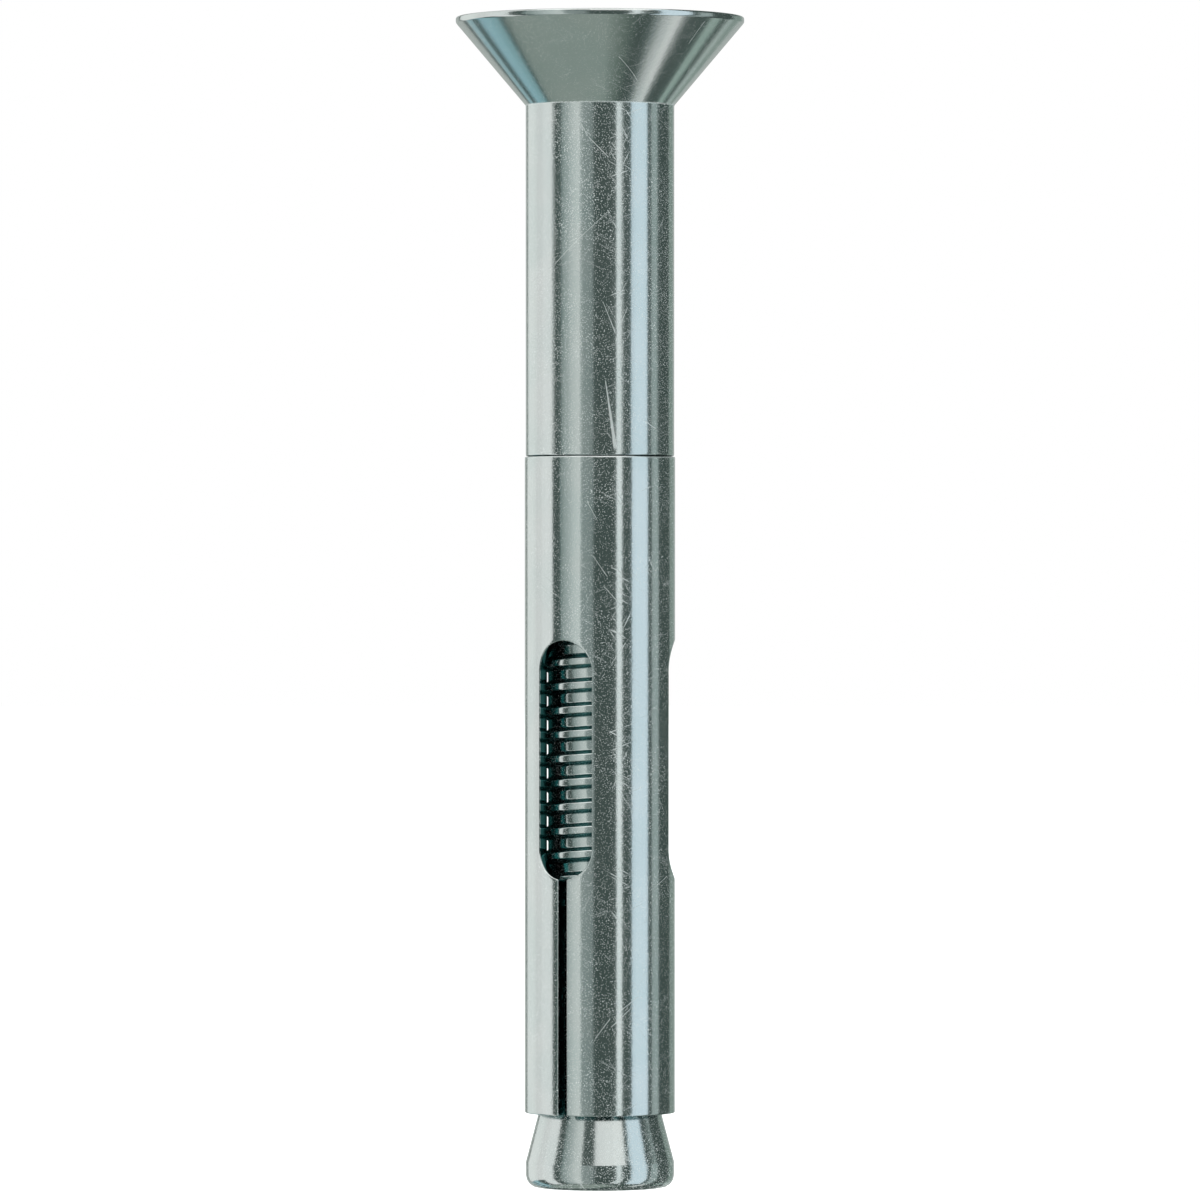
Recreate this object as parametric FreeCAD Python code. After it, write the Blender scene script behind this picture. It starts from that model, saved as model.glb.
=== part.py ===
import FreeCAD, Part
import math
import os

# Flat-head sleeve anchor, built as its three real pieces: the stud with its expander cone,
# the slotted expansion sleeve and the long nut with a countersunk head.
# Millimetres. The axis is +Z, the head is up, and z = 0 is the flat end of the stud.
# Angles about the axis are measured from +X.

# Stud, from its flat end upwards
end_round = 0.65
land_dia = 7.84
land_length = 0.70
cone_half_angle = 14.7
neck_dia = 5.60
thread_dia = 6.24
thread_start = 14.10
thread_end_chamfer = 0.45
stud_length = 48.60

# Expansion sleeve
sleeve_dia = 7.94
sleeve_wall = 0.70
sleeve_length = 34.64
sleeve_edge_chamfer = 0.10
window_count = 3
window_width = 3.17
window_length = 12.55
window_height_above_end = 12.39
slot_width = 0.50

# Nut with its countersunk head
nut_length = 23.20
barrel_dia = 7.84
barrel_end_chamfer = 0.12
head_dia = 15.24
head_cone_angle = 80.4
head_rim_height = 0.29
head_rim_bevel = 0.14
head_root_fillet = 0.15
bore_point_angle = 118.0
bore_mouth_chamfer = 0.25

# Cross recess in the top of the head
recess_span = 8.00
recess_depth = 4.60
recess_wing_width = 2.00
recess_wing_foot_width = 1.50
recess_end_taper = 13.25
recess_floor_angle = 28.0
recess_core_width = 3.60
recess_core_foot_width = 2.60
recess_web = 1.50

# Fits
cone_seat_clearance = 0.03
nut_seat_clearance = 0.03
thread_clearance = 0.05

# How far a cutting tool reaches past the surface that it opens
overshoot = 1.0


def tangent(angle):
    return math.tan(math.radians(angle))


def at(radius, height):
    return FreeCAD.Vector(radius, 0, height)


def corner_arc(start, corner, end):
    """Tangent arc in place of a corner, from start to end at one distance from the corner."""
    inward = (start - corner).normalize() + (end - corner).normalize()
    half_angle = (start - corner).getAngle(end - corner) / 2
    leg = (start - corner).Length
    radius = leg * math.tan(half_angle)
    to_centre = leg / math.cos(half_angle)
    middle = corner + inward.normalize() * (to_centre - radius)
    return Part.Arc(start, middle, end).toShape()


def turned(edges):
    """Solid of revolution about the axis from a closed run of edges in the XZ plane."""
    face = Part.Face(Part.Wire(edges))
    return face.revolve(FreeCAD.Vector(0, 0, 0), FreeCAD.Vector(0, 0, 1), 360)


def outline(points):
    """Straight edges from each point to the next."""
    return [Part.makeLine(first, second) for first, second in zip(points, points[1:])]


# Heights that the pieces share, worked out from the sizes above
sleeve_bore_dia = sleeve_dia - 2 * sleeve_wall
land_top = end_round + land_length
cone_seat_dia = sleeve_bore_dia - 2 * cone_seat_clearance
sleeve_bottom = land_top + (land_dia - cone_seat_dia) / 2 / tangent(cone_half_angle)
sleeve_top = sleeve_bottom + sleeve_length
window_straight_bottom = sleeve_bottom + window_height_above_end + window_width / 2
window_straight_top = window_straight_bottom + window_length - window_width
nut_bottom = sleeve_top + nut_seat_clearance
nut_top = nut_bottom + nut_length
bore_dia = thread_dia + 2 * thread_clearance


def make_stud():
    """Rolled stud: rounded flat end, full-size land, expander cone, plain neck and threaded shank."""
    land = land_dia / 2
    neck = neck_dia / 2
    shank = thread_dia / 2
    flat = land - end_round
    cone_top = land_top + (land - neck) / tangent(cone_half_angle)
    edges = outline([at(0, 0), at(flat, 0)])
    edges += [corner_arc(at(flat, 0), at(land, 0), at(land, end_round))]
    edges += outline(
        [
            at(land, end_round),
            at(land, land_top),
            at(neck, cone_top),
            at(neck, thread_start),
            at(shank, thread_start + shank - neck),
            at(shank, stud_length - thread_end_chamfer),
            at(shank - thread_end_chamfer, stud_length),
            at(0, stud_length),
            at(0, 0),
        ]
    )
    return turned(edges)


def make_window_cutter():
    """Full-radius window with the slot below it, as a tool that points outwards along +X."""
    end_radius = window_width / 2
    reach = sleeve_dia / 2 + overshoot

    def on_axis(across, height):
        return FreeCAD.Vector(0, across, height)

    top = on_axis(0, window_straight_top + end_radius)
    bottom = on_axis(0, window_straight_bottom - end_radius)
    left_top = on_axis(-end_radius, window_straight_top)
    right_top = on_axis(end_radius, window_straight_top)
    left_bottom = on_axis(-end_radius, window_straight_bottom)
    right_bottom = on_axis(end_radius, window_straight_bottom)
    edges = [
        Part.makeLine(right_bottom, right_top),
        Part.Arc(right_top, top, left_top).toShape(),
        Part.makeLine(left_top, left_bottom),
        Part.Arc(left_bottom, bottom, right_bottom).toShape(),
    ]
    window = Part.Face(Part.Wire(edges)).extrude(FreeCAD.Vector(reach, 0, 0))
    slot_foot = sleeve_bottom - overshoot
    slot_corner = FreeCAD.Vector(0, -slot_width / 2, slot_foot)
    slot = Part.makeBox(reach, slot_width, window_straight_bottom - slot_foot, slot_corner)
    return window.fuse(slot).removeSplitter()


def make_band(bottom, top, bottom_chamfer, top_chamfer):
    """One stretch of the sleeve's tube, with a chamfer on its outer edge where that edge is free."""
    inner = sleeve_bore_dia / 2
    outer = sleeve_dia / 2
    points = [at(inner, bottom), at(outer - bottom_chamfer, bottom)]
    if bottom_chamfer:
        points += [at(outer, bottom + bottom_chamfer)]
    if top_chamfer:
        points += [at(outer, top - top_chamfer)]
    points += [at(outer - top_chamfer, top), at(inner, top), at(inner, bottom)]
    return turned(outline(points))


def make_sleeve():
    """Steel tube with equally spaced windows, each with a slot that runs out at the bottom end.

    The tube is a slotted band, a windowed band and a closed band, which meet where the straight
    sides of the windows end.
    """
    slotted = make_band(sleeve_bottom, window_straight_bottom, sleeve_edge_chamfer, 0)
    windowed = make_band(window_straight_bottom, window_straight_top, 0, 0)
    closed = make_band(window_straight_top, sleeve_top, 0, sleeve_edge_chamfer)
    tube = slotted.fuse([windowed, closed])
    cutter = make_window_cutter()
    cutters = []
    for index in range(window_count):
        copy = cutter.copy()
        copy.rotate(FreeCAD.Vector(0, 0, 0), FreeCAD.Vector(0, 0, 1), index * 360 / window_count)
        cutters.append(copy)
    return tube.cut(cutters)


def make_recess():
    """Cross recess as a solid tool: tapered wings about a tapered core, on a coned floor."""
    span = recess_span / 2
    taper = tangent(recess_end_taper)
    floor = tangent(recess_floor_angle)
    wall_depth = (recess_depth - span * floor) / (1 - taper * floor)
    floor_radius = span - wall_depth * taper
    envelope = turned(
        outline(
            [
                at(0, nut_top - recess_depth),
                at(floor_radius, nut_top - wall_depth),
                at(span, nut_top),
                at(0, nut_top),
                at(0, nut_top - recess_depth),
            ]
        )
    )

    def section(length, width, height):
        corners = [(-length, -width), (length, -width), (length, width), (-length, width)]
        points = [FreeCAD.Vector(x / 2, y / 2, height) for x, y in corners]
        return Part.makePolygon(points + [points[0]])

    def tapered(length, foot_length, width, foot_width, turn):
        foot = section(foot_length, foot_width, nut_top - recess_depth)
        block = Part.makeLoft([foot, section(length, width, nut_top)], True)
        block.rotate(FreeCAD.Vector(0, 0, 0), FreeCAD.Vector(0, 0, 1), turn)
        return block

    long = recess_span + 2 * overshoot
    wings = [
        tapered(long, long, recess_wing_width, recess_wing_foot_width, turn) for turn in (0, 90)
    ]
    core = tapered(
        recess_core_width, recess_core_foot_width, recess_core_width, recess_core_foot_width, 45
    )
    return wings[0].fuse([wings[1], core]).common(envelope)


def make_nut():
    """Long barrel nut with a countersunk flat head, a cross recess and a blind bore from below.

    The web is the steel left between the foot of the recess and the point of the bore.
    """
    barrel = barrel_dia / 2
    head = head_dia / 2
    bore = bore_dia / 2
    half_cone = head_cone_angle / 2
    rim_low = nut_top - head_rim_height
    head_root = rim_low - (head - barrel) / tangent(half_cone)
    corner = at(barrel, head_root)
    along_cone = at(math.sin(math.radians(half_cone)), math.cos(math.radians(half_cone)))
    fillet_low = at(barrel, head_root - head_root_fillet)
    fillet_high = corner + along_cone * head_root_fillet
    bore_point = nut_top - recess_depth - recess_web
    bore_top = bore_point - bore / tangent(bore_point_angle / 2)
    edges = outline(
        [
            at(0, bore_point),
            at(bore, bore_top),
            at(bore, nut_bottom + bore_mouth_chamfer),
            at(bore + bore_mouth_chamfer, nut_bottom),
            at(barrel - barrel_end_chamfer, nut_bottom),
            at(barrel, nut_bottom + barrel_end_chamfer),
            fillet_low,
        ]
    )
    edges += [corner_arc(fillet_low, corner, fillet_high)]
    edges += outline(
        [
            fillet_high,
            at(head, rim_low),
            at(head - head_rim_bevel, nut_top),
            at(0, nut_top),
            at(0, bore_point),
        ]
    )
    return turned(edges).cut(make_recess())


def main():
    os.makedirs("parts", exist_ok=True)
    nodes = {
        "cone_stud": make_stud(),
        "expansion_sleeve": make_sleeve(),
        "flat_head_nut": make_nut(),
    }
    for name, shape in nodes.items():
        solid = shape.Solids[0]
        solid.exportStep(f"parts/{name}.step")
        box = solid.BoundBox
        print(f"{name}: {len(shape.Solids)} solid, valid {solid.isValid()}, {solid.Volume:.1f} mm3,", end=" ")
        print(f"z {box.ZMin:.3f} to {box.ZMax:.3f}, across {box.XLength:.3f}")


main()
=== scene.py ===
# %% [markdown]
# # A flat-head sleeve anchor, dressed over its CAD frame
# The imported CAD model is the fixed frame: it says where every piece is and how it moves. The
# frame comes first, because each new mesh below takes its place and its main sizes from it.
# `box` gives the lowest and highest corner of one CAD piece, in metres.

# %% Load the frame
import math
import bmesh
import bpy
from mathutils import Matrix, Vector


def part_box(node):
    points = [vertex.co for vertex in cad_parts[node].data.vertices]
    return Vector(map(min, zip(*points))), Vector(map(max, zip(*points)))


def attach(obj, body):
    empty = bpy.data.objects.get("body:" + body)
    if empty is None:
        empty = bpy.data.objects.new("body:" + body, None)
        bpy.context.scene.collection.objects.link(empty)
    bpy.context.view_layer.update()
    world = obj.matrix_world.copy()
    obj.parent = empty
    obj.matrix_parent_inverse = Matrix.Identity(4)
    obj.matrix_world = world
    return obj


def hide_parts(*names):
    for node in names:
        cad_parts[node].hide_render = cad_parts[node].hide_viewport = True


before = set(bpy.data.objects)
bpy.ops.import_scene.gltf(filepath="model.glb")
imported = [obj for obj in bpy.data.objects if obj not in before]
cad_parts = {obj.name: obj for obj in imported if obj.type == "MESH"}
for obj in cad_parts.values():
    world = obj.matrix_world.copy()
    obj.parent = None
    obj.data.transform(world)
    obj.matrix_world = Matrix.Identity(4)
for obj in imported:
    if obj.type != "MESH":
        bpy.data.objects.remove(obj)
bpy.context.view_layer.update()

# %% [markdown]
# ## Millimetres in, metres out
# The anchor is 62 mm tall and its finest edges are rounded by a twentieth of a millimetre. The
# mesh operators have small fixed tolerances, so each piece is modelled in millimetres, where
# those tolerances do no harm, and shrunk to metres at the very end.

# %% Units and the sizes that the frame gives
MM = 0.001


def frame_size(node):
    """Radius, bottom and top of a CAD piece about the axis, in millimetres."""
    low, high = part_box(node)
    return high.y / MM, low.z / MM, high.z / MM


land_radius, stud_bottom, stud_top = frame_size("cone_stud")
sleeve_radius, sleeve_bottom, sleeve_top = frame_size("expansion_sleeve")
head_radius, nut_bottom, nut_top = frame_size("flat_head_nut")
print(f"stud {stud_bottom:.2f} to {stud_top:.2f} mm, sleeve {sleeve_bottom:.2f} to {sleeve_top:.2f} mm,")
print(f"nut {nut_bottom:.2f} to {nut_top:.2f} mm, head {2 * head_radius:.2f} mm across")

# %% [markdown]
# ## Sizes that shapes and finishes share
# The finish changes where the head begins and along the thread, so these sizes come before both.

# %% Shared sizes
BARREL_RADIUS = 3.92
HEAD_HALF_ANGLE = math.radians(40.2)
RIM_HEIGHT = 0.29
THREAD_START = 14.10
RUN_IN = 0.5
CREST_RADIUS = 3.12
ROOT_RADIUS = 2.74

rim_low = nut_top - RIM_HEIGHT
head_root = rim_low - (head_radius - BARREL_RADIUS) / math.tan(HEAD_HALF_ANGLE)
neck_top = THREAD_START - RUN_IN
print(f"the neck ends at {neck_top:.2f} mm and the head begins at {head_root:.2f} mm")

# %% [markdown]
# ## Turned shapes
# Most of the anchor is turned: a flat outline goes once round the axis. The outline starts as a
# few corners joined by edges. A vertex bevel rounds a corner while it is still a bare wire,
# which is far cheaper than rounding the finished ring. `spin` then sweeps the wire round, and
# `use_merge` closes the seam. The points on the axis become poles, so doubles are merged before
# the normals are worked out again. Edges that are cut later are rounded with an edge bevel.

# %% A turned mesh from a rounded outline
ROUND_STEPS = 256
CORNER_STEPS = 4
CORNER_ANGLE = math.radians(50)
MERGE = 1e-4


def everything(mesh):
    """All the vertices, edges and faces of a mesh."""
    return mesh.verts[:] + mesh.edges[:] + mesh.faces[:]


def spin(mesh, **how):
    """Sweeps or copies a whole mesh round the axis."""
    bmesh.ops.spin(mesh, geom=everything(mesh), cent=(0, 0, 0), axis=(0, 0, 1), **how)


def wire(mesh, corners):
    """Adds corners (radius, height, rounding) as one run of edges and rounds them."""
    points = [mesh.verts.new((radius, 0, height)) for radius, height, _ in corners]
    for first, second in zip(points, points[1:]):
        mesh.edges.new((first, second))
    for point, (_, _, rounding) in zip(points, corners):
        if rounding:
            bmesh.ops.bevel(
                mesh,
                geom=[point],
                offset=rounding,
                offset_type="OFFSET",
                segments=CORNER_STEPS,
                profile=0.5,
                affect="VERTICES",
                material=-1,
            )


def close_up(mesh):
    """Merges doubles and turns every face outwards."""
    bmesh.ops.remove_doubles(mesh, verts=mesh.verts, dist=MERGE)
    bmesh.ops.recalc_face_normals(mesh, faces=mesh.faces)


def turned(corners, steps=ROUND_STEPS):
    """One full turn of an outline about the axis."""
    mesh = bmesh.new()
    wire(mesh, corners)
    spin(mesh, angle=2 * math.pi, steps=steps, use_merge=True)
    close_up(mesh)
    return mesh


def corner_edges(mesh):
    """Edges where two faces meet at more than the corner angle."""
    return [edge for edge in mesh.edges if edge.calc_face_angle(0) > CORNER_ANGLE]


def round_edges(mesh, edges, offset, segments):
    """Bevels some edges of a mesh; one segment gives a plain chamfer."""
    bmesh.ops.bevel(
        mesh,
        geom=edges,
        offset=offset,
        offset_type="OFFSET",
        segments=segments,
        profile=0.5,
        affect="EDGES",
        material=-1,
    )


# %% [markdown]
# ## From mesh to piece
# A finished piece keeps its place in its mesh and its object stays at the origin. Faces that
# meet at less than the sharp angle shade as one surface. The Weighted Normal modifier lets the
# big faces decide how the light falls near a rounded edge, so a barrel reflects straight
# stripes right up to its rounding.

# %% Finished pieces
SHARP_ANGLE = math.radians(31)
LARGE_FACE_WEIGHT = 60
open_edges = {}


def object_from(mesh, name):
    """Makes an object of a bmesh as it is."""
    data = bpy.data.meshes.new(name)
    mesh.to_mesh(data)
    mesh.free()
    made = bpy.data.objects.new(name, data)
    bpy.context.scene.collection.objects.link(made)
    return made


def piece_from(mesh, name):
    """Makes an object of a bmesh and shrinks it from millimetres to metres."""
    open_edges[name] = sum(1 for edge in mesh.edges if len(edge.link_faces) != 2)
    bmesh.ops.scale(mesh, vec=(MM, MM, MM), verts=mesh.verts)
    return object_from(mesh, name)


def smooth(piece):
    """Shades a piece smooth, with normals that follow its large faces."""
    piece.data.set_sharp_from_angle(angle=SHARP_ANGLE)
    normals = piece.modifiers.new("even_normals", "WEIGHTED_NORMAL")
    normals.mode = "FACE_AREA"
    normals.weight = LARGE_FACE_WEIGHT
    normals.keep_sharp = True


def settle(piece, body, node, finish):
    """Rides the piece on its body in place of its CAD node, with its finish."""
    piece.data.materials.clear()
    piece.data.materials.append(finish)
    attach(piece, body)
    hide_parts(node)
    triangles = sum(len(face.vertices) - 2 for face in piece.data.polygons)
    print(f"{piece.name}: {triangles} triangles, {open_edges[piece.name]} open edges")


# %% [markdown]
# ## The camera
# The photograph looks at the anchor dead level from about half a metre, through a long lens.
# The frame is 1200 pixels wide and the anchor's axis is at its middle. One pixel is 0.0528 mm at
# the axis, so the frame is 63.4 mm wide there.

# %% Camera
PHOTO_PIXELS = 1200
MM_PER_PIXEL = 0.052846
STANDING_ROW = 1187
CAMERA_DISTANCE = 476
SENSOR_WIDTH = 36

camera_height = (STANDING_ROW - PHOTO_PIXELS / 2) * MM_PER_PIXEL
camera_data = bpy.data.cameras.new("photo_camera")
camera_data.sensor_width = SENSOR_WIDTH
camera_data.lens = SENSOR_WIDTH * CAMERA_DISTANCE / (PHOTO_PIXELS * MM_PER_PIXEL)
camera = bpy.data.objects.new("photo_camera", camera_data)
camera.location = (0, -CAMERA_DISTANCE * MM, camera_height * MM)
camera.rotation_euler = (math.pi / 2, 0, 0)
bpy.context.scene.collection.objects.link(camera)
bpy.context.scene.camera = camera
print(f"camera {camera_height:.1f} mm up, lens {camera_data.lens:.0f} mm")

# %% [markdown]
# ## Shader maths as plain Python
# A finish is the node tree of a material or of the world. `Finish.node` adds any node:
# settings first, then the values or links of its sockets. It gives back a `Value`, which stands
# for one output socket, and whose operators add Math nodes, so that `1 - mask` reads as it is.

# %% The node helper
CLOUDS = (0.3, 0.7)


class Value:
    """One output socket of a finish, which can be used in sums."""

    def __init__(self, finish, socket):
        self.finish = finish
        self.socket = socket

    def maths(self, operation, first, second=0.0):
        sockets = {0: first, 1: second}
        return self.finish.node("ShaderNodeMath", {"operation": operation}, sockets)

    def __add__(self, other):
        return self.maths("ADD", self, other)

    def __radd__(self, other):
        return self.maths("ADD", other, self)

    def __sub__(self, other):
        return self.maths("SUBTRACT", self, other)

    def __rsub__(self, other):
        return self.maths("SUBTRACT", other, self)

    def __mul__(self, other):
        return self.maths("MULTIPLY", self, other)

    def __rmul__(self, other):
        return self.maths("MULTIPLY", other, self)

    def __truediv__(self, other):
        return self.maths("DIVIDE", self, other)

    def __abs__(self):
        return self.maths("ABSOLUTE", self)

    def most(self, other):
        return self.maths("MAXIMUM", self, other)


class Finish:
    """The nodes of their owner, which is a material or the world."""

    def __init__(self, owner):
        owner.use_nodes = True
        self.owner = owner
        self.tree = owner.node_tree
        self.tree.nodes.clear()

    def node(self, kind, settings=None, sockets=None, output=0):
        """Adds a node and returns the Value of one of its outputs, if it has any."""
        node = self.tree.nodes.new(kind)
        for key, value in (settings or {}).items():
            setattr(node, key, value)
        for key, value in (sockets or {}).items():
            if isinstance(value, Value):
                self.tree.links.new(value.socket, node.inputs[key])
            else:
                node.inputs[key].default_value = value
        return Value(self, node.outputs[output]) if node.outputs else None

    def remap(self, value, low, high, new_low=0.0, new_high=1.0):
        """Stretches low..high to new_low..new_high with a soft start and end."""
        sockets = {0: value, 1: low, 2: high, 3: new_low, 4: new_high}
        return self.node("ShaderNodeMapRange", {"interpolation_type": "SMOOTHSTEP"}, sockets)

    def blend(self, factor, first, second):
        """Mixes two colours."""
        settings = {"data_type": "RGBA"}
        return self.node("ShaderNodeMix", settings, {0: factor, 6: first, 7: second}, output=2)

    def clouds(self, value, low=0.0, high=1.0):
        """Stretches the part of cloudy noise where most of it lies."""
        return self.remap(value, *CLOUDS, low, high)

    def finish(self, shader, output="ShaderNodeOutputMaterial"):
        """Joins the shader to the output."""
        self.node(output, {}, {"Surface": shader})


# %% [markdown]
# ## Light: a ring of cards
# Bright zinc is a mirror with a slight haze, so what shows on it is the studio. On the barrel,
# each stripe of the photograph is one card or one gap between cards, and the mirror law gives its
# bearing: a point at angle a round the barrel reflects what stands at the bearing 2a. The cards
# are strips of a great drum round the anchor. Bearings are in degrees from the camera, to the
# right; the heights are degrees above the camera's level. Faint upright bands keep a card from
# looking like flat paint. The camera doesn't see the cards.

# %% Cards
DRUM_RADIUS = 2500
CARD_STEP = 4
BANDS_PER_DEGREE = 0.3
BAND_DEPTH = 0.16
BLACK = (0, 0, 0, 1)
WHITE = (1, 1, 1, 1)


def card(name, bearings, heights, left_colour, right_colour=None):
    """One strip of the drum that glows, from one colour at its left to another at its right."""
    left, right = bearings
    low, high = heights
    mesh = bmesh.new()
    columns = max(2, round((right - left) / CARD_STEP))
    rows = max(2, round((high - low) / CARD_STEP))
    mesh.loops.layers.uv.new("across")
    bmesh.ops.create_grid(mesh, x_segments=columns, y_segments=rows, size=0.5, calc_uvs=True)
    for point in mesh.verts:
        bearing = math.radians(left + (right - left) * (point.co.x + 0.5))
        height = math.radians(low + (high - low) * (point.co.y + 0.5))
        level = DRUM_RADIUS * math.cos(height)
        point.co = (
            level * math.sin(bearing),
            -level * math.cos(bearing),
            camera_height + DRUM_RADIUS * math.sin(height),
        )
    strip = piece_from(mesh, name)
    glow = Finish(bpy.data.materials.new(name))
    place = glow.node("ShaderNodeTexCoord", output="UV")
    across = glow.node("ShaderNodeSeparateXYZ", {}, {0: place})
    degrees = glow.node("ShaderNodeCombineXYZ", {}, {0: across * (right - left)})
    bands = glow.node("ShaderNodeTexNoise", {}, {"Vector": degrees, "Scale": BANDS_PER_DEGREE})
    colour = glow.blend(across, (*left_colour, 1), (*(right_colour or left_colour), 1))
    colour = glow.blend(glow.clouds(bands) * BAND_DEPTH, colour, BLACK)
    glow.finish(glow.node("ShaderNodeEmission", {}, {"Color": colour, "Strength": 1.0}))
    strip.data.materials.append(glow.owner)
    strip.visible_camera = False


WALL = (-20, 60)
FRONT_LOW = -46
card("left_wall", (-150, -118), WALL, (0.83, 0.88, 0.86))
card("left_wall_middle", (-118, -100), WALL, (0.77, 0.80, 0.79))
card("left_wall_front", (-100, -78), (FRONT_LOW, 60), (0.84, 0.88, 0.87))
card("left_front_card", (-64, -30), (FRONT_LOW, 32), (0.22, 0.29, 0.28), (0.74, 0.80, 0.78))
card("front_grey_card", (-30, -10), (FRONT_LOW, 16), (0.28, 0.34, 0.33), (0.23, 0.28, 0.27))
card("front_strip", (25.5, 34), (FRONT_LOW, 18), (0.90, 0.98, 0.98))
card("right_blue_card", (50, 79), (FRONT_LOW, 60), (0.73, 0.88, 0.96))
card("right_grey_card", (87, 102), (FRONT_LOW, 14), (0.36, 0.44, 0.43))
card("back_right_card", (135, 158), (-20, 12), (0.26, 0.33, 0.30))
card("low_back_right_card", (128, 136), (-42, -28), (0.38, 0.50, 0.45))
card("low_back_right_end", (143, 160), (-28, -20), (0.44, 0.52, 0.49))
card("backdrop", (158, 205), (-30, 40), (0.46, 0.50, 0.48))
card("top_card", (-9, 42), (14, 36), (0.80, 0.83, 0.82), (0.98, 1.0, 0.98))
card("front_key", (-75, 46), (36, 62), (1.25, 1.27, 1.25))
card("low_left_card", (-137, -120), (FRONT_LOW, -20), (0.35, 0.58, 0.65), (0.24, 0.42, 0.44))
card("low_left_end", (-152, -144), (FRONT_LOW, -20), (0.36, 0.55, 0.59))
card("low_right_card", (83, 106), (-66, -47), (0.16, 0.21, 0.20), (0.96, 1.0, 0.98))
card("table_left_card", (-150, -100), (-90, FRONT_LOW), (0.27, 0.33, 0.30))
card("table_card", (-100, 14), (-90, -50), (0.28, 0.34, 0.31))
card("table_fade", (14, 62), (-90, -60), (0.27, 0.33, 0.30), (0.10, 0.14, 0.12))
card("overhead_light", (-180, 180), (62, 76), (1.7, 1.75, 1.72))
card("overhead_cap", (-180, 180), (76, 90), (0.50, 0.55, 0.54))

# %% [markdown]
# ## World and floor
# The world behind the cards is a dark green-grey, which gives the dark stripes. The camera itself
# sees plain white. The floor is pale and gets most of its light from its own faint glow, so that it
# meets the white with no edge, and it is left out of reflections: the photograph's anchor
# doesn't show any floor close below it. It lies a little lower than the anchor's end, so that
# the stud stays in sight when the nut is backed off and the stud sinks. The Standard view
# transform keeps white white.

# %% World and floor
WORLD_COLOUR = (0.062, 0.086, 0.079, 1)
FLOOR_COLOUR = (0.9, 0.9, 0.9, 1)
FLOOR_ROUGHNESS = 0.9
FLOOR_GLOW = 0.92
FLOOR_REACH = 3000
FLOOR_DROP = 10

world = bpy.data.worlds.new("studio")
bpy.context.scene.world = world
studio = Finish(world)
surroundings = studio.node("ShaderNodeBackground", {}, {"Color": WORLD_COLOUR})
white = studio.node("ShaderNodeBackground", {}, {"Color": WHITE})
to_camera = studio.node("ShaderNodeLightPath", output="Is Camera Ray")
either = studio.node("ShaderNodeMixShader", {}, {0: to_camera, 1: surroundings, 2: white})
studio.finish(either, "ShaderNodeOutputWorld")

floor_mesh = bmesh.new()
bmesh.ops.create_grid(floor_mesh, x_segments=1, y_segments=1, size=FLOOR_REACH)
bmesh.ops.translate(floor_mesh, vec=(0, 0, -FLOOR_DROP), verts=floor_mesh.verts)
floor = piece_from(floor_mesh, "floor")
floor_finish = Finish(bpy.data.materials.new("pale_floor"))
floor_finish.finish(
    floor_finish.node(
        "ShaderNodeBsdfPrincipled",
        {},
        {
            "Base Color": FLOOR_COLOUR,
            "Roughness": FLOOR_ROUGHNESS,
            "Specular IOR Level": 0.0,
            "Emission Color": WHITE,
            "Emission Strength": FLOOR_GLOW,
        },
    )
)
floor.data.materials.append(floor_finish.owner)
floor.visible_glossy = False
floor.visible_shadow = False

bpy.context.scene.view_settings.view_transform = "Standard"
print("world, floor and cards are in place")

# %% [markdown]
# ## Bright zinc plate
# All three pieces are steel with a thin bright zinc plate: a mirror with a slight haze. In the
# dark stripes of the photograph it sparkles with fine specks and hair scratches, and in the
# light stripes they hardly show. A speck is a pale dull spot, which scatters light from all
# sides, so it is about as bright as a light stripe wherever it lies. All this wear is one mask
# that makes the plate paler, less metallic and rougher. A faint bump helps. Patterns that follow
# the surface use the barrel unrolled: millimetres round the anchor, and millimetres up.

# %% Specks, hairs and single scratches
PLATE_COLOUR = (0.80, 0.82, 0.81, 1)
PLATE_SHADE = (0.75, 0.79, 0.78, 1)
# The paler, duller plate of worn spots, also used for the painted highlights along two edges.
WORN_AND_HIGHLIGHT_COLOUR = (0.80, 0.84, 0.83, 1)
WORN_AND_HIGHLIGHT_ROUGHNESS = 0.6
WORN_AND_HIGHLIGHT_METAL = 0.15
DOT_CORE = 0.55
FINE_DOTS = 14.0
FINE_DOT_SIZE = 0.27
COARSE_DOTS = 7.0
COARSE_DOT_SIZES = (0.06, 0.24)
COARSE_PATCH_GRAINS = 2.5
COARSE_PATCHES = (0.38, 0.72)
THICKNESS_GRAINS = 0.35
THICKNESS = (0.8, 1.1)
HAIRS_ACROSS = 12
HAIRS_ALONG = 0.5
HAIR_PATCH_GRAINS = 0.45
HAIR_PATCHES = (0.45, 0.62)
HAIR_FOOT = 0.70
HAIR_CREST = 0.80
HAIR_GAIN = 0.06
HEAD_BLEND = 0.3
HEAD_SPECK_LOSS = 0.45
HEAD_HAIR_LOSS = 0.7
RUBBED_LEFT = (0.3, 0.7)
RUBBED_RIGHT = (1.9, 1.4)
RUBBED_GRAINS = 0.22
RUBBED_PATCHES = (0.42, 0.55)
RUBBED_GAIN = 1.6
LINE_CORE = 0.3
LINE_START = (-0.02, 0.06)
LINE_END = (1.02, 0.94)


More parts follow.
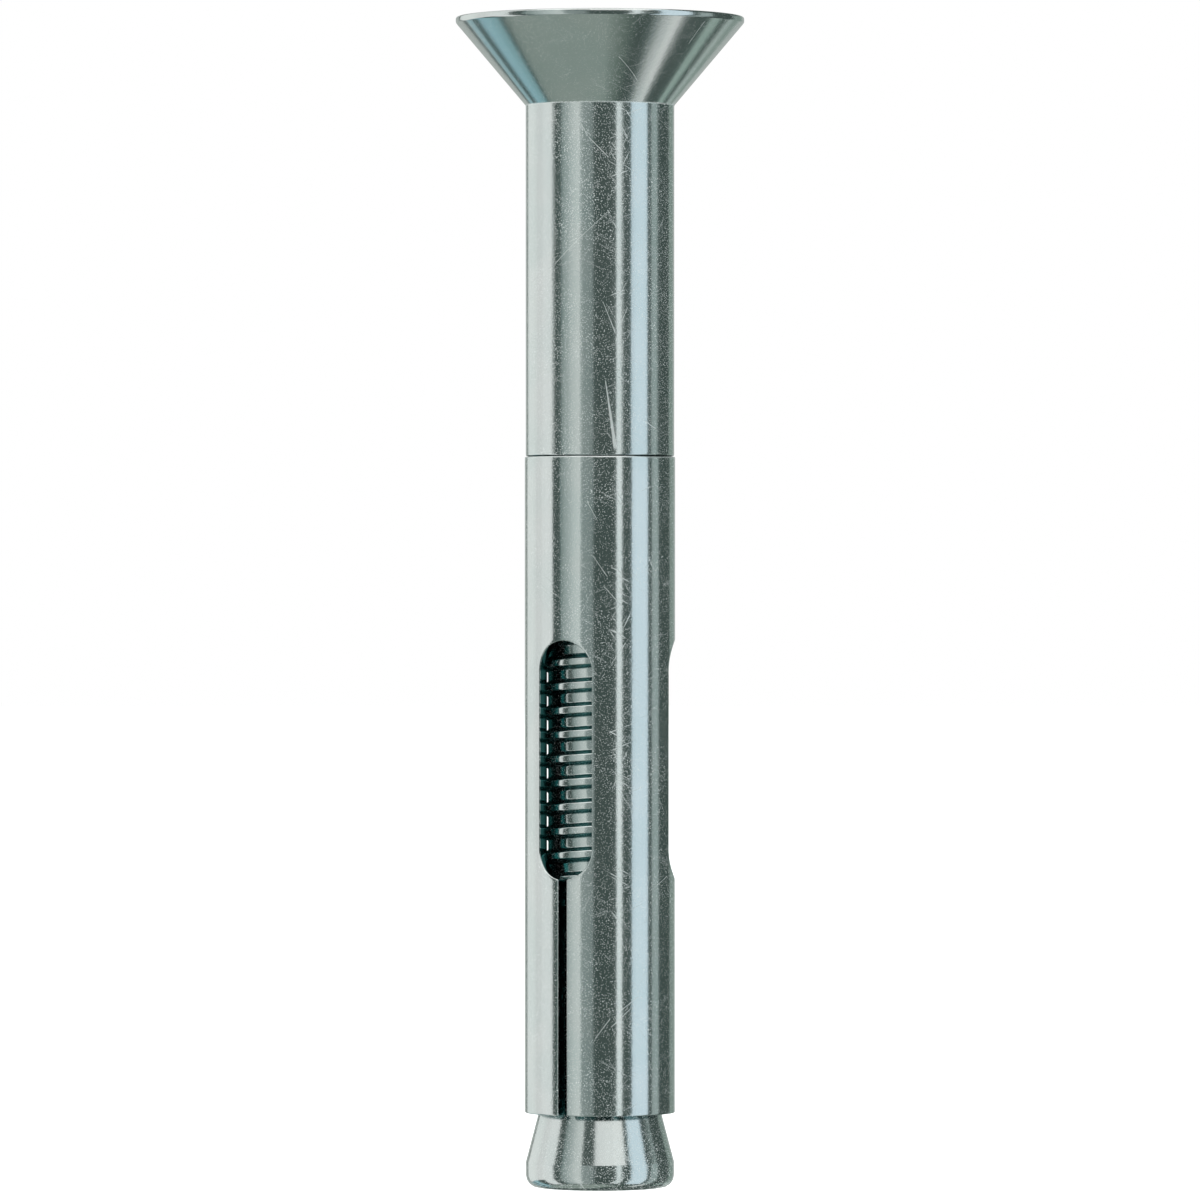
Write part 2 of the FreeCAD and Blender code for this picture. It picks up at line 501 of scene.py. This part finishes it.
class Plate(Finish):
    """A plated finish, with the patterns that all the plated pieces share."""

    def __init__(self, name):
        super().__init__(bpy.data.materials.new(name))
        metres = self.node("ShaderNodeTexCoord", output="Object")
        sockets = {0: metres, "Scale": 1 / MM}
        self.place = self.node("ShaderNodeVectorMath", {"operation": "SCALE"}, sockets)
        across, depth, self.up = [
            self.node("ShaderNodeSeparateXYZ", {}, {0: self.place}, output=axis) for axis in "XYZ"
        ]
        self.around = across.maths("ARCTAN2", across, 0 - depth) * BARREL_RADIUS
        self.radius = across.maths("SQRT", across * across + depth * depth)
        self.on_head = self.remap(self.up, head_root - HEAD_BLEND, head_root + HEAD_BLEND)
        self.rubbed = self.rubbed_patches()

    def noise(self, scale, detail=1.0, vector=None):
        """Cloudy noise with so many grains to the millimetre."""
        sockets = {"Vector": vector or self.place, "Scale": scale, "Detail": detail}
        return self.node("ShaderNodeTexNoise", {}, sockets)

    def shifted(self, seed):
        """The place, moved far off, so that a second pattern differs from the first."""
        sockets = {0: self.place, 1: (seed * 7.0, seed * 3.0, seed * 5.0)}
        return self.node("ShaderNodeVectorMath", {"operation": "ADD"}, sockets)

    def dots(self, scale, size):
        """Round dots, one to a cell: size is their radius as a share of the cell."""
        sockets = {"Vector": self.place, "Scale": scale}
        distance = self.node("ShaderNodeTexVoronoi", {"feature": "F1"}, sockets)
        return self.remap(distance / size, 1.0, DOT_CORE)

    def specks(self, amount):
        """Fine dots all over and coarse ones in patches, thinner on the head."""
        thick = self.clouds(self.noise(THICKNESS_GRAINS), *THICKNESS) * amount
        thick = thick * (1 - self.on_head * HEAD_SPECK_LOSS)
        patch = self.remap(self.noise(COARSE_PATCH_GRAINS), *COARSE_PATCHES, *COARSE_DOT_SIZES)
        fine = self.dots(FINE_DOTS, thick * FINE_DOT_SIZE)
        return fine.most(self.dots(COARSE_DOTS, thick * patch))

    def rubbed_patches(self):
        """Patches at the front right of the barrel, where most of the whiskers are."""
        left = self.remap(self.around, *RUBBED_LEFT)
        right = self.remap(self.around, *RUBBED_RIGHT)
        return left * right * self.remap(self.noise(RUBBED_GRAINS), *RUBBED_PATCHES) * RUBBED_GAIN

    def hairs(self, turn, seed, amount):
        """Short fine lines that all lie at one angle to the axis, in patches."""
        lean = math.radians(turn)
        aside = self.around * math.cos(lean) + self.up * math.sin(lean)
        along = self.up * math.cos(lean) - self.around * math.sin(lean)
        sockets = {"X": aside * HAIRS_ACROSS, "Y": along * HAIRS_ALONG, "Z": seed}
        field = self.noise(1.0, vector=self.node("ShaderNodeCombineXYZ", {}, sockets))
        lines = self.remap(field, HAIR_FOOT - HAIR_GAIN * amount, HAIR_CREST)
        patch = self.noise(HAIR_PATCH_GRAINS, vector=self.shifted(seed))
        patch = self.remap(patch, *HAIR_PATCHES)
        return lines * patch.most(self.rubbed) * (1 - self.on_head * HEAD_HAIR_LOSS)

    def scratch(self, start, end, first_width, last_width):
        """One tapered line between two points, each a bearing in degrees and a height."""
        left = math.radians(start[0]) * BARREL_RADIUS
        run = math.radians(end[0]) * BARREL_RADIUS - left
        rise = end[1] - start[1]
        length = math.hypot(run, rise)
        across = self.around - left
        up = self.up - start[1]
        along = across * (run / length**2) + up * (rise / length**2)
        off = abs(across * (rise / length) - up * (run / length))
        width = along * (last_width - first_width) + first_width
        line = self.remap(off / width, 1.0, LINE_CORE)
        return line * self.remap(along, *LINE_START) * self.remap(along, *LINE_END)


# %% [markdown]
# ## The plate of one piece
# The wear is the strongest of its parts at each point. Four sets of hairs lie at four angles, and
# each has a seed of its own. Thin bright rings at the head's root and the sleeve's top edge are
# painted highlights, made with the same paler, duller plate as the wear. In the sleeve's bore,
# between the thread's crests and on the nut's lower edge the plate is dark blue-green, as the
# photograph shows it: this is painted shade.

# %% Plate with its wear
HAIR_SETS = [(35, 1.3), (-28, 4.1), (62, 7.7), (-70, 9.2)]
HAIR_WEAR = 0.28
SCRATCH_WEAR = 0.4
RING_CORE = 0.5
SHADE_GRAINS = 0.3
SHADE_PATCHES = (0.35, 0.65)
# Painted shade: one dark blue-green colour for the sleeve's bore, the nut's lower joint and the thread's
# flanks.
PAINTED_SHADE_COLOUR = (0.012, 0.11, 0.11, 1)
BORE_SHADE_DEPTH = 0.12
JOINT_SHADE_FADE = 0.02
# Painted shade on the thread's flanks.
FLANK_SHADE_COLOUR = (0.10, 0.26, 0.26, 1)
FLANK_EDGE = 0.04
FLANK_FADE = 0.2
ROOT_MARGIN = 0.02
CREST_MARGIN = 0.01
FLANK_WEAR_LOSS = 0.7
BUMP_STRENGTH = 0.1
BUMP_DEPTH = 0.02
BUMP_GRAINS = 7.0


def zinc_plate(name, haze, amount, scratches=(), rings=(), bore_shade_radius=0.0, joint_shade_height=0.0, flanks=False):
    """Bright zinc plate: haze is the roughness of the clean plate, amount is how speckled it is.

    Each scratch is its two points, its two half widths and its depth. Each ring is a painted
    highlight along a rounded edge: its height, half its width and its depth. Painted shade makes
    the plate dark blue-green closer to the axis than a given radius, below a given height at the
    nut's lower joint, and on the flanks of a thread.
    """
    plate = Plate(name)
    wear_and_highlights = plate.specks(amount)
    for turn, seed in HAIR_SETS:
        wear_and_highlights = wear_and_highlights.most(plate.hairs(turn, seed, amount) * HAIR_WEAR)
    for start, end, first_width, last_width, depth in scratches:
        line = plate.scratch(start, end, first_width, last_width)
        wear_and_highlights = wear_and_highlights.most(line * depth * SCRATCH_WEAR)
    # Painted highlights: each ring makes a thin band along a rounded edge paler, duller and rougher.
    for height, half_width, depth in rings:
        off = abs(plate.up - height)
        wear_and_highlights = wear_and_highlights.most(plate.remap(off / half_width, 1.0, RING_CORE) * depth)
    shade = plate.remap(plate.noise(SHADE_GRAINS), *SHADE_PATCHES)
    colour = plate.blend(shade, PLATE_COLOUR, PLATE_SHADE)
    # Painted shade: closer to the axis than the given radius, in the sleeve's bore, the plate turns dark
    # blue-green.
    if bore_shade_radius:
        inside = plate.remap(plate.radius, bore_shade_radius, bore_shade_radius - BORE_SHADE_DEPTH)
        colour = plate.blend(inside, colour, PAINTED_SHADE_COLOUR)
        wear_and_highlights = wear_and_highlights * (1 - inside)
    # Painted shade: a thin dark blue-green band at the nut's lower edge, below the given height, where
    # the joint with the sleeve lies in shade.
    if joint_shade_height:
        joint_shade = plate.remap(plate.up, joint_shade_height, joint_shade_height - JOINT_SHADE_FADE)
        colour = plate.blend(joint_shade, colour, PAINTED_SHADE_COLOUR)
        wear_and_highlights = wear_and_highlights * (1 - joint_shade)
    # Painted shade: between root and crest of the thread the plate is dark blue-green.
    if flanks:
        foot = ROOT_RADIUS + ROOT_MARGIN
        brow = CREST_RADIUS - CREST_MARGIN
        above_root = plate.remap(plate.radius, foot, foot + FLANK_EDGE)
        below_crest = plate.remap(plate.radius, brow, brow - FLANK_EDGE)
        threaded = plate.remap(plate.up, neck_top + FLANK_FADE, neck_top + 2 * FLANK_FADE)
        colour = plate.blend(above_root * below_crest * threaded, colour, FLANK_SHADE_COLOUR)
        wear_and_highlights = wear_and_highlights * (1 - threaded * FLANK_WEAR_LOSS)
    bump = plate.node(
        "ShaderNodeBump",
        {},
        {
            "Strength": BUMP_STRENGTH,
            "Distance": BUMP_DEPTH * MM,
            "Height": plate.noise(BUMP_GRAINS, detail=2.0),
        },
    )
    plate.finish(
        plate.node(
            "ShaderNodeBsdfPrincipled",
            {},
            {
                "Base Color": plate.blend(wear_and_highlights, colour, WORN_AND_HIGHLIGHT_COLOUR),
                "Metallic": 1 - wear_and_highlights * (1 - WORN_AND_HIGHLIGHT_METAL),
                "Roughness": haze + wear_and_highlights * (WORN_AND_HIGHLIGHT_ROUGHNESS - haze),
                "Normal": bump,
            },
        )
    )
    return plate.owner


# %% [markdown]
# ## Three plates
# The scratches that stand out in the photograph are placed one by one, each by its bearing round
# the anchor, from the camera to the right, and its height. The nut's barrel has a long diagonal
# line and, low down, a streak that widens towards the joint.

# %% The plate of each piece
NUT_SCRATCHES = [
    ((-71, 47.6), (-38, 48.6), 0.019, 0.033, 0.5),
    ((-38, 48.6), (8, 51.5), 0.033, 0.026, 0.7),
    ((4, 42.6), (12, 38.9), 0.03, 0.15, 1.0),
    ((-19, 56.5), (-9, 55.3), 0.019, 0.039, 0.7),
    ((-9, 55.3), (7, 54.2), 0.033, 0.026, 0.9),
    ((11, 56.6), (22, 55.2), 0.019, 0.033, 0.9),
    ((12, 55.6), (20, 54.6), 0.026, 0.019, 0.8),
    ((2, 46.7), (12, 45.0), 0.019, 0.039, 0.9),
    ((22, 47.0), (42, 48.5), 0.019, 0.019, 0.6),
    ((14, 45.2), (22, 46.4), 0.026, 0.019, 0.8),
    ((9, 59.45), (24, 58.2), 0.013, 0.019, 0.7),
    ((46, 60.1), (47.5, 61.3), 0.013, 0.013, 0.7),
]
SLEEVE_SCRATCHES = [
    ((14, 9.4), (30, 10.2), 0.019, 0.033, 0.8),
    ((8, 8.6), (24, 9.6), 0.026, 0.019, 0.9),
    ((-4, 8.0), (8, 9.1), 0.019, 0.033, 0.9),
    ((48, 16.0), (63, 16.5), 0.019, 0.033, 0.8),
    ((58, 14.0), (64, 14.4), 0.033, 0.019, 0.7),
    ((2, 31.8), (18, 30.6), 0.019, 0.033, 0.9),
    ((-6, 33.4), (6, 32.2), 0.026, 0.026, 0.8),
    ((8, 27.6), (20, 28.8), 0.019, 0.026, 0.8),
    ((-10, 36.2), (-2, 35.2), 0.026, 0.026, 0.8),
]
stud_plate = zinc_plate("zinc_plate_stud", haze=0.14, amount=1.08, flanks=True)
sleeve_plate = zinc_plate(
    "zinc_plate_sleeve",
    haze=0.13,
    amount=0.90,
    scratches=SLEEVE_SCRATCHES,
    # painted highlight along the sleeve's top edge
    rings=[(sleeve_top - 0.05, 0.04, 0.25)],
    # painted shade in the sleeve's bore
    bore_shade_radius=sleeve_radius - 0.03,
)
nut_plate = zinc_plate(
    "zinc_plate_nut",
    haze=0.15,
    amount=0.98,
    scratches=NUT_SCRATCHES,
    # painted highlight at the head's root
    rings=[(head_root, 0.05, 0.25)],
    # painted shade at the nut's lower joint
    joint_shade_height=nut_bottom + 0.045,
)
print("plates:", [plate.name for plate in (stud_plate, sleeve_plate, nut_plate)])

# %% [markdown]
# ## The nut: outline
# The nut is a long barrel with a countersunk head and a blind threaded hole. Its outline goes from
# the point of the hole, down the bore, round the mouth and up the outside. The corner between
# barrel and head has a small root, and the rim of the head is a narrow flat with rounded edges.
# One ring on the flat top, just inside the rim, keeps the rim's shading from spreading inwards.

# %% Nut sizes and body
RIM_ROUNDING = 0.10
RIM_LOW_ROUNDING = 0.07
RIM_BAND = 0.45
HEAD_ROOT_ROUNDING = 0.06
BARREL_END_ROUNDING = 0.09
BORE_RADIUS = 3.17
BORE_POINT_HALF_ANGLE = math.radians(59)
BORE_MOUTH = 0.25
RECESS_DEPTH = 4.60
RECESS_RADIUS = 4.00
RECESS_WEB = 1.50

recess_foot = nut_top - RECESS_DEPTH
bore_point = recess_foot - RECESS_WEB
bore_top = bore_point - BORE_RADIUS / math.tan(BORE_POINT_HALF_ANGLE)
nut_mesh = turned(
    [
        (0, bore_point, 0),
        (BORE_RADIUS, bore_top, 0),
        (BORE_RADIUS, nut_bottom + BORE_MOUTH, 0),
        (BORE_RADIUS + BORE_MOUTH, nut_bottom, 0),
        (BARREL_RADIUS, nut_bottom, BARREL_END_ROUNDING),
        (BARREL_RADIUS, head_root, HEAD_ROOT_ROUNDING),
        (head_radius, rim_low, RIM_LOW_ROUNDING),
        (head_radius, nut_top, RIM_ROUNDING),
        (head_radius - RIM_BAND, nut_top, 0),
        (0, nut_top, 0),
    ]
)
print(f"recess down to {recess_foot:.2f} mm, hole up to {bore_point:.2f} mm")

# %% [markdown]
# ## The cross recess
# The driver's recess is a cross of two bars over a square core, all tapered, on a coned floor.
# The three bars are joined, a turned envelope trims them to the recess's ends and floor, and the
# result is taken out of the head. Each bar is a cube with its corners moved. The bars reach past
# the envelope by different amounts, because a boolean can't tell in from out where two tools
# share a surface.

# %% Recess tools
RECESS_END_TAPER = math.radians(13.25)
RECESS_FLOOR_ANGLE = math.radians(28)
WING_WIDTH = 2.00
WING_FOOT_WIDTH = 1.50
CORE_WIDTH = 3.60
CORE_FOOT_WIDTH = 2.60
BAR_LENGTH = 10.0
BAR_REACH = 1.0
REACH_STEP = 0.2
TOOL_RISE = 0.5
ENVELOPE_STEPS = 96

floor_rise = math.tan(RECESS_FLOOR_ANGLE)
end_lean = math.tan(RECESS_END_TAPER)
wall_depth = (RECESS_DEPTH - RECESS_RADIUS * floor_rise) / (1 - end_lean * floor_rise)


def tapered_bar(name, width, foot_width, turn, reach, length=None):
    """A bar across the axis whose sides lean in downwards; without a length it is square.

    Its ends stand out by the reach above the head and below the recess.
    """
    mesh = bmesh.new()
    bmesh.ops.create_cube(mesh, size=1)
    lean = (width - foot_width) / RECESS_DEPTH
    for point in mesh.verts:
        height = nut_top + reach if point.co.z > 0 else recess_foot - reach
        across = width + (height - nut_top) * lean
        point.co = (point.co.x * (length or across), point.co.y * across, height)
    bmesh.ops.rotate(mesh, verts=mesh.verts, matrix=Matrix.Rotation(turn, 3, "Z"))
    return object_from(mesh, name)


envelope_mesh = turned(
    [
        (0, recess_foot, 0),
        (RECESS_RADIUS - wall_depth * end_lean, nut_top - wall_depth, 0),
        (RECESS_RADIUS + TOOL_RISE * end_lean, nut_top + TOOL_RISE, 0),
        (0, nut_top + TOOL_RISE, 0),
    ],
    steps=ENVELOPE_STEPS,
)
envelope = object_from(envelope_mesh, "envelope")
cross = tapered_bar("cross", WING_WIDTH, WING_FOOT_WIDTH, 0, BAR_REACH, BAR_LENGTH)
second_wing = tapered_bar(
    "second_wing", WING_WIDTH, WING_FOOT_WIDTH, math.pi / 2, BAR_REACH + REACH_STEP, BAR_LENGTH
)
core = tapered_bar("core", CORE_WIDTH, CORE_FOOT_WIDTH, math.pi / 4, BAR_REACH + 2 * REACH_STEP)

# %% [markdown]
# ## The recess is cut
# The booleans leave some very short edges round the mouth, which are merged before the mouth gets
# its small chamfer. The chamfer's edges are sharp, so the flat top keeps its even shade.

# %% Cut the recess
MOUTH_CHAMFER = 0.06
SHORT_EDGE = 0.03


def combine(base, operation, other):
    """Adds one boolean step to the base object."""
    step = base.modifiers.new(other.name, "BOOLEAN")
    step.operation = operation
    step.solver = "EXACT"
    step.object = other


def applied(thing, helpers):
    """Returns the object's mesh with its boolean steps applied and removes all the objects."""
    bpy.context.view_layer.update()
    result = bmesh.new()
    result.from_object(thing, bpy.context.evaluated_depsgraph_get())
    for used in (thing, *helpers):
        bpy.data.objects.remove(used)
    return result


def at_mouth(edge):
    """True for an edge round the recess, where the head's flat top ends."""
    return all(
        point.co.z > nut_top - MERGE and math.hypot(point.co.x, point.co.y) < RECESS_RADIUS + MERGE
        for point in edge.verts
    )


head = object_from(nut_mesh, "head")
combine(cross, "UNION", second_wing)
combine(cross, "UNION", core)
combine(cross, "INTERSECT", envelope)
combine(head, "DIFFERENCE", cross)
nut_mesh = applied(head, [cross, second_wing, core, envelope])
bmesh.ops.remove_doubles(nut_mesh, verts=nut_mesh.verts, dist=SHORT_EDGE)
mouth = [edge for edge in corner_edges(nut_mesh) if at_mouth(edge)]
round_edges(nut_mesh, mouth, MOUTH_CHAMFER, segments=1)
print(f"{len(mouth)} edges round the mouth, {nut_mesh.calc_volume():.1f} cubic millimetres of nut")
nut = piece_from(nut_mesh, "flat_head_nut_plated")
smooth(nut)
settle(nut, "nut", "flat_head_nut", nut_plate)

# %% [markdown]
# ## The sleeve: one sixth of a sheet
# The sleeve repeats six times round the axis: three windows, each the same left and right. One
# sixth is a flat grid, like a strip of sheet before it is rolled. Its first column follows
# the edge of the opening: up the slot, round the foot of the window, up its side and round its
# head to the centre line. The second column stays a fixed distance off that edge, so
# a bevel has square corners to work on; over the window it stops short of the centre line, so
# that the cells there keep a width. The other columns share out the rest of the strip.

# %% Sleeve sizes and the edge of the opening
SLEEVE_WALL = 0.70
WINDOW_HALF = 3.17 / 2
WINDOW_LENGTH = 12.55
WINDOW_ABOVE_END = 12.39
SLOT_HALF = 0.25
WINDOW_COUNT = 3
EDGE_BAND = 0.16
HEAD_LEAN = math.radians(4)
ARC_ROWS = 22
SHEET_COLUMNS = 22
SLEEVE_EDGE_ROUNDING = 0.055

side_low = sleeve_bottom + WINDOW_ABOVE_END + WINDOW_HALF
side_high = side_low + WINDOW_LENGTH - 2 * WINDOW_HALF
half_panel = math.pi / WINDOW_COUNT
sheet_rows = 2 * ARC_ROWS + 5


def opening_edge(row, off):
    """Point a distance off the opening's edge at one row of the sheet: (across, height)."""
    radius = WINDOW_HALF + off
    slot = SLOT_HALF + off
    lean = off / EDGE_BAND * HEAD_LEAN
    if row == 0:
        return slot, sleeve_bottom
    if row == 1:
        return slot, sleeve_bottom + EDGE_BAND
    if row <= 2 + ARC_ROWS:
        turn = math.acos(slot / radius) * (2 + ARC_ROWS - row) / ARC_ROWS
        return radius * math.cos(turn), side_low - radius * math.sin(turn)
    if row <= 3 + 2 * ARC_ROWS:
        turn = (math.pi / 2 - lean) * (row - 3 - ARC_ROWS) / ARC_ROWS
        return radius * math.cos(turn), side_high + radius * math.sin(turn)
    if row == sheet_rows - 1:
        return off, sleeve_top - EDGE_BAND
    return off, sleeve_top


def sheet_point(column, row):
    """Angle and height of a point of the sheet, before it is bent round."""
    if column == 0:
        across, height = opening_edge(row, 0)
        return math.asin(across / sleeve_radius), height
    across, height = opening_edge(row, EDGE_BAND)
    start = math.asin(across / sleeve_radius)
    share = (column - 1) / (SHEET_COLUMNS - 1)
    return start + (half_panel - start) * share, height


# %% [markdown]
# ## The sleeve: rolled, mirrored and thickened
# The grid's points move onto the cylinder, a mirror makes the other half of the panel, and `spin`
# with duplicates sets three of them round the axis. `solidify` gives the sheet its wall. The real
# windows are punched straight through, so their side walls are parallel rather than pointing
# at the axis. The inner skin is turned a little round the axis to follow.

# %% Roll the sheet
inner_radius = sleeve_radius - SLEEVE_WALL


def inner_angle(angle):
    """Where a point of the outer skin has its partner on the inner skin."""
    punched = math.asin((WINDOW_HALF + EDGE_BAND) / sleeve_radius)
    partner = math.asin((WINDOW_HALF + EDGE_BAND) / inner_radius)
    if angle <= punched:
        return math.asin(sleeve_radius * math.sin(angle) / inner_radius)
    return partner + (angle - punched) * (half_panel - partner) / (half_panel - punched)


def rolled_sheet():
    """The sleeve's outer skin, three panels round the axis."""
    mesh = bmesh.new()
    bmesh.ops.create_grid(mesh, x_segments=SHEET_COLUMNS, y_segments=sheet_rows, size=0.5)
    for point in mesh.verts:
        column = round((point.co.x + 0.5) * SHEET_COLUMNS)
        row = round((point.co.y + 0.5) * sheet_rows)
        angle, height = sheet_point(column, row)
        point.co = (sleeve_radius * math.cos(angle), sleeve_radius * math.sin(angle), height)
    bmesh.ops.mirror(mesh, geom=everything(mesh), axis="Y", merge_dist=MERGE)
    copies = WINDOW_COUNT - 1
    spin(mesh, angle=2 * half_panel * copies, steps=copies, use_duplicate=True)
    close_up(mesh)
    return mesh


def punch_inwards(mesh):
    """Sets the inner skin to its radius, with the openings' walls parallel."""
    panel = 2 * half_panel
    for point in mesh.verts:
        if math.hypot(point.co.x, point.co.y) < inner_radius + SLEEVE_WALL / 2:
            angle = math.atan2(point.co.y, point.co.x)
            centre = round(angle / panel) * panel
            aside = angle - centre
            turned_angle = centre + math.copysign(inner_angle(abs(aside)), aside)
            point.co.x = inner_radius * math.cos(turned_angle)
            point.co.y = inner_radius * math.sin(turned_angle)


sleeve_mesh = rolled_sheet()
bmesh.ops.solidify(sleeve_mesh, geom=sleeve_mesh.faces[:], thickness=SLEEVE_WALL)
punch_inwards(sleeve_mesh)
close_up(sleeve_mesh)
round_edges(sleeve_mesh, corner_edges(sleeve_mesh), SLEEVE_EDGE_ROUNDING, segments=3)
radii = [math.hypot(point.co.x, point.co.y) for point in sleeve_mesh.verts]
print(f"sleeve skins at {min(radii):.3f} and {max(radii):.3f} mm")
sleeve = piece_from(sleeve_mesh, "expansion_sleeve_plated")
smooth(sleeve)
settle(sleeve, "sleeve", "expansion_sleeve", sleeve_plate)

# %% [markdown]
# ## The stud: cone and neck
# The lower end of the stud is turned: a rounded flat end, a short land as wide as the sleeve,
# the long cone that spreads the sleeve, and a plain neck.

# %% Stud sizes and its turned end
END_ROUNDING = 0.65
LAND_TOP = 1.35
LAND_EDGE_ROUNDING = 0.05
CONE_HALF_ANGLE = math.radians(14.7)
NECK_RADIUS = 2.80
NECK_ROUNDING = 0.3

cone_top = LAND_TOP + (land_radius - NECK_RADIUS) / math.tan(CONE_HALF_ANGLE)


def turned_end():
    """The stud up to the top of its neck, open there."""
    return turned(
        [
            (0, 0, 0),
            (land_radius, 0, END_ROUNDING),
            (land_radius, LAND_TOP, LAND_EDGE_ROUNDING),
            (NECK_RADIUS, cone_top, NECK_ROUNDING),
            (NECK_RADIUS, neck_top, 0),
        ]
    )


# %% [markdown]
# ## The stud: rolled thread
# A rolled thread is one groove wound round the shank. A wire with the profile of one pitch
# spins one turn and climbs by one pitch. That turn is then stacked: a spin that only climbs makes
# the copies, each turn's top edge meets the next turn's foot, and doubles close the seam.
# Spinning all the turns in one go gives the same mesh, but each step of a spin looks through
# the whole mesh, which takes minutes. Right-handed means that it climbs as it goes
# anticlockwise seen from above. It starts and ends beyond the stud and is cut to length; near
# its start it rises out of the neck, and at the tip it dies into the chamfer.

# %% Thread
PITCH = 1.27
CREST_FLAT = 0.34
FLANK_ANGLE = math.radians(30)
THREAD_ROUNDING = 0.05
THREAD_LIFT = 0.14
THREAD_STEPS = 96
NECK_GAP = 0.1
TIP_CHAMFER = 0.45

flank = (CREST_RADIUS - ROOT_RADIUS) * math.tan(FLANK_ANGLE)
root_flat = PITCH - CREST_FLAT - 2 * flank


def thread_radius(radius, height):
    """Radius of a point of the thread after the run-in and the tip chamfer."""
    rise = min(1, max(0, (height - neck_top) / (2 * RUN_IN)))
    radius = NECK_RADIUS + (radius - NECK_RADIUS) * rise * rise * (3 - 2 * rise)
    return min(radius, CREST_RADIUS + stud_top - TIP_CHAMFER - height)


def wound_thread():
    """The threaded length as an open tube, cut flat at both ends."""
    mesh = bmesh.new()
    foot = THREAD_START - 2 * PITCH + THREAD_LIFT
    half_crest = CREST_FLAT / 2
    wire(
        mesh,
        [
            (CREST_RADIUS, foot, 0),
            (CREST_RADIUS, foot + half_crest, THREAD_ROUNDING),
            (ROOT_RADIUS, foot + half_crest + flank, THREAD_ROUNDING),
            (ROOT_RADIUS, foot + half_crest + flank + root_flat, THREAD_ROUNDING),
            (CREST_RADIUS, foot + PITCH - half_crest, THREAD_ROUNDING),
            (CREST_RADIUS, foot + PITCH, 0),
        ],
    )
    turns = math.ceil((stud_top - foot) / PITCH) + 1
    climb = (0, 0, PITCH / THREAD_STEPS)
    spin(mesh, angle=2 * math.pi, steps=THREAD_STEPS, dvec=climb)
    spin(mesh, angle=0, steps=turns - 1, dvec=(0, 0, PITCH), use_duplicate=True)
    close_up(mesh)
    for point in mesh.verts:
        radius = math.hypot(point.co.x, point.co.y)
        kept = thread_radius(radius, point.co.z) / radius
        point.co.x *= kept
        point.co.y *= kept
    for height, side in ((neck_top + NECK_GAP, -1), (stud_top, 1)):
        bmesh.ops.bisect_plane(
            mesh,
            geom=everything(mesh),
            plane_co=(0, 0, height),
            plane_no=(0, 0, side),
            clear_outer=True,
        )
    return mesh


def rims(mesh):
    """The open edges of a mesh, from the lowest up."""
    edges = [edge for edge in mesh.edges if edge.is_boundary]
    return sorted(edges, key=lambda edge: edge.verts[0].co.z)


# %% [markdown]
# ## The stud: joined
# The turned end and the thread become one mesh. The neck's open rim and the thread's are
# bridged, and the tip gets a flat face.

# %% Join the stud
stud_mesh = wound_thread()
end_mesh = turned_end()
end_data = bpy.data.meshes.new("turned_end")
end_mesh.to_mesh(end_data)
end_mesh.free()
stud_mesh.from_mesh(end_data)
bpy.data.meshes.remove(end_data)
tip_rim = [edge for edge in rims(stud_mesh) if edge.verts[0].co.z > neck_top + PITCH]
bmesh.ops.contextual_create(stud_mesh, geom=tip_rim)
bmesh.ops.bridge_loops(stud_mesh, edges=rims(stud_mesh))
close_up(stud_mesh)
stud = piece_from(stud_mesh, "cone_stud_plated")
smooth(stud)
settle(stud, "stud", "cone_stud", stud_plate)
